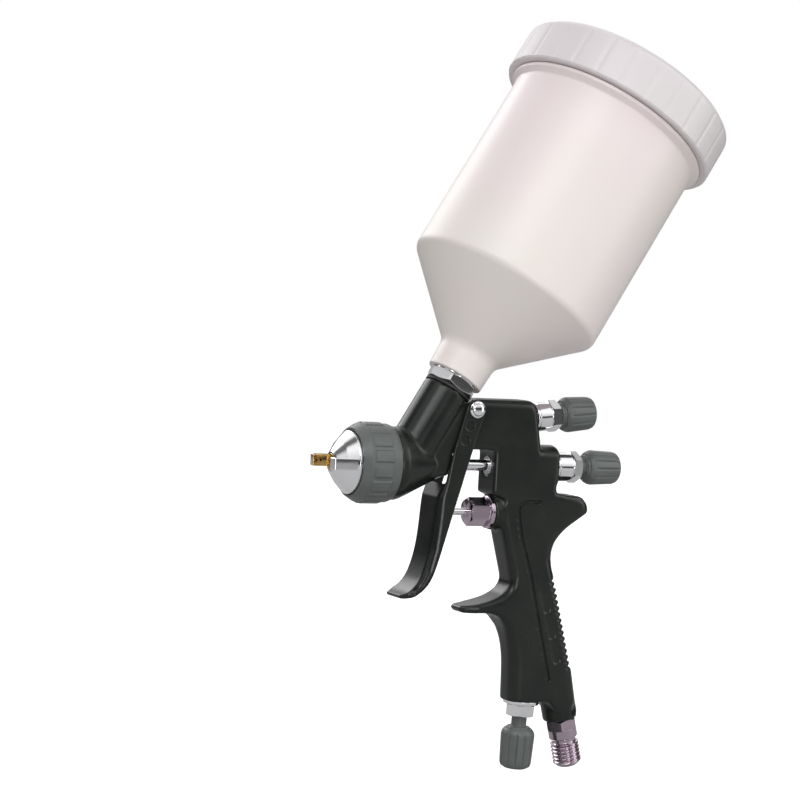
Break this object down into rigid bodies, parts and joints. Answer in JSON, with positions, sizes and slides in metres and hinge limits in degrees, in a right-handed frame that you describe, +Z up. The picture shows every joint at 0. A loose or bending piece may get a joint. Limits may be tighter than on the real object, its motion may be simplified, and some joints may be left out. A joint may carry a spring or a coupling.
{
  "type": "hvlp spray gun",
  "caption": "Gravity-feed paint spray gun with a tilted screw-on cup, horned air cap, pull trigger, rear fan and fluid knobs, an air adjusting knob and a threaded air inlet.",
  "frame": {"origin": "on the air inlet's axis, where the thread ends at its open end", "axes": "+X from the nozzle to the rear knobs along the nozzle's axis, +Z up, Y across the gun, which is symmetrical about Y = 0"},
  "size_m": [0.1887, 0.104, 0.341],
  "materials": {
    "body_coat": "satin black anodised and painted casting",
    "trigger_coat": "satin black painted steel",
    "grey_plastic": "mid grey moulded plastic",
    "chrome": "bright chrome plate",
    "steel": "turned stainless steel",
    "brass": "turned brass",
    "milky_plastic": "translucent milky polypropylene",
    "lid_plastic": "milky white polypropylene",
    "seal_rubber": "black sealing rubber",
    "ptfe": "white PTFE",
    "mesh_nylon": "nylon strainer"
  },
  "bodies": {
    "root": {"gun_body": "body_coat", "fluid_tip": "brass", "air_baffle": "brass", "needle_packing": "ptfe", "packing_nut": "chrome", "sleeve_bushing": "brass", "fluid_bushing": "chrome", "fan_bushing": "chrome", "adjust_bushing": "chrome", "trigger_stud": "chrome", "trigger_screw": "chrome", "air_valve_washer": "chrome", "air_valve_nut": "chrome", "air_inlet_connector": "chrome", "adapter_washer": "chrome", "cup_adapter": "chrome", "needle_spring": "steel", "air_valve_spring": "steel"},
    "trigger": {"trigger": "trigger_coat"},
    "needle": {"fluid_needle": "steel", "needle_sleeve": "chrome", "needle_collar": "brass"},
    "air_valve_stem": {"air_valve_stem": "steel", "air_valve_poppet": "seal_rubber"},
    "needle_spring_seat": {"needle_spring_seat": "steel"},
    "fluid_knob": {"fluid_knob": "grey_plastic"},
    "fan_plunger": {"fan_plunger": "brass", "fan_seal": "seal_rubber"},
    "fan_knob": {"fan_knob": "grey_plastic"},
    "adjust_plunger": {"adjust_plunger": "brass", "adjust_seal": "seal_rubber"},
    "adjust_knob": {"adjust_knob": "grey_plastic"},
    "cap_clip": {"cap_clip": "ptfe"},
    "air_cap_ring": {"air_cap_ring": "grey_plastic"},
    "air_cap": {"air_cap": "chrome"},
    "paint_filter": {"paint_filter": "mesh_nylon"},
    "paint_cup": {"paint_cup": "milky_plastic"},
    "lid_gasket": {"lid_gasket": "ptfe"},
    "cup_lid": {"cup_lid": "lid_plastic"},
    "lid_vent_plug": {"lid_vent_plug": "lid_plastic"}
  },
  "joints": [
    {"name": "trigger_pull", "type": "hinge", "parent": "root", "child": "trigger", "pos_m": [-0.06336, 0, 0.16169], "axis": [0, -1, 0], "range_deg": [0, 12], "stiffness_Nm_per_rad": 1.5, "springref_deg": -8.59},
    {"name": "needle_draw", "type": "slide", "parent": "root", "child": "needle", "axis": [1, 0, 0], "range_m": [0, 0.0056], "deforming": ["needle_spring"]},
    {"name": "air_valve_push", "type": "slide", "parent": "root", "child": "air_valve_stem", "axis": [1, 0, 0], "range_m": [0, 0.0104], "deforming": ["air_valve_spring"]},
    {"name": "fluid_seat_slide", "type": "slide", "parent": "root", "child": "needle_spring_seat", "axis": [1, 0, 0], "range_m": [-0.0031, 0.0021]},
    {"name": "fluid_turn", "type": "hinge", "parent": "needle_spring_seat", "child": "fluid_knob", "pos_m": [-0.01736, 0, 0.13629], "axis": [1, 0, 0], "range_deg": [-1080, 720]},
    {"name": "fan_plunger_slide", "type": "slide", "parent": "root", "child": "fan_plunger", "axis": [0.9954, 0, 0.0958], "range_m": [-0.0001, 0.0026]},
    {"name": "fan_turn", "type": "hinge", "parent": "fan_plunger", "child": "fan_knob", "pos_m": [-0.02926, 0, 0.15859], "axis": [0.9954, 0, 0.0958], "range_deg": [0, 900]},
    {"name": "adjust_plunger_slide", "type": "slide", "parent": "root", "child": "adjust_plunger", "axis": [-0.0436, 0, -0.999], "range_m": [-0.0041, 0.0011]},
    {"name": "adjust_turn", "type": "hinge", "parent": "adjust_plunger", "child": "adjust_knob", "pos_m": [-0.02646, 0, 0.02889], "axis": [-0.0436, 0, -0.999], "range_deg": [-1440, 360]},
    {"name": "cap_slide", "type": "slide", "parent": "root", "child": "cap_clip", "axis": [-1, 0, 0], "range_m": [0, 0.0106]},
    {"name": "ring_turn", "type": "hinge", "parent": "cap_clip", "child": "air_cap_ring", "pos_m": [-0.11086, 0, 0.13629], "axis": [-1, 0, 0], "range_deg": [0, 2160]},
    {"name": "air_cap_turn", "type": "hinge", "parent": "cap_clip", "child": "air_cap", "pos_m": [-0.12086, 0, 0.13629], "axis": [-1, 0, 0], "range_deg": [-90, 90]},
    {"name": "filter_lift", "type": "slide", "parent": "root", "child": "paint_filter", "axis": [0.515, 0, 0.8572], "range_m": [0, 0.0121]},
    {"name": "cup_turn", "type": "hinge", "parent": "paint_filter", "child": "paint_cup", "pos_m": [-0.09386, 0, 0.13629], "axis": [0.515, 0, 0.8572], "range_deg": [0, 1440]},
    {"name": "gasket_lift", "type": "slide", "parent": "paint_cup", "child": "lid_gasket", "axis": [0.515, 0, 0.8572], "range_m": [0, 0.0081]},
    {"name": "lid_turn", "type": "hinge", "parent": "lid_gasket", "child": "cup_lid", "pos_m": [-0.09386, 0, 0.13629], "axis": [0.515, 0, 0.8572], "range_deg": [0, 720]},
    {"name": "vent_plug_pull", "type": "slide", "parent": "cup_lid", "child": "lid_vent_plug", "axis": [0.515, 0, 0.8572], "range_m": [0, 0.0035]}
  ],
  "couplings": [
    {"joint": "needle_draw", "follows": "trigger_pull", "m_per_rad": 0.0258},
    {"joint": "air_valve_push", "follows": "trigger_pull", "m_per_rad": 0.0485},
    {"joint": "fluid_seat_slide", "follows": "fluid_turn", "m_per_rad": 0.00015915},
    {"joint": "fan_plunger_slide", "follows": "fan_turn", "m_per_rad": 0.00015915},
    {"joint": "adjust_plunger_slide", "follows": "adjust_turn", "m_per_rad": 0.00015915},
    {"joint": "cap_slide", "follows": "ring_turn", "m_per_rad": 0.00027852},
    {"joint": "filter_lift", "follows": "cup_turn", "m_per_rad": 0.00047746},
    {"joint": "gasket_lift", "follows": "lid_turn", "m_per_rad": 0.00063662}
  ]
}
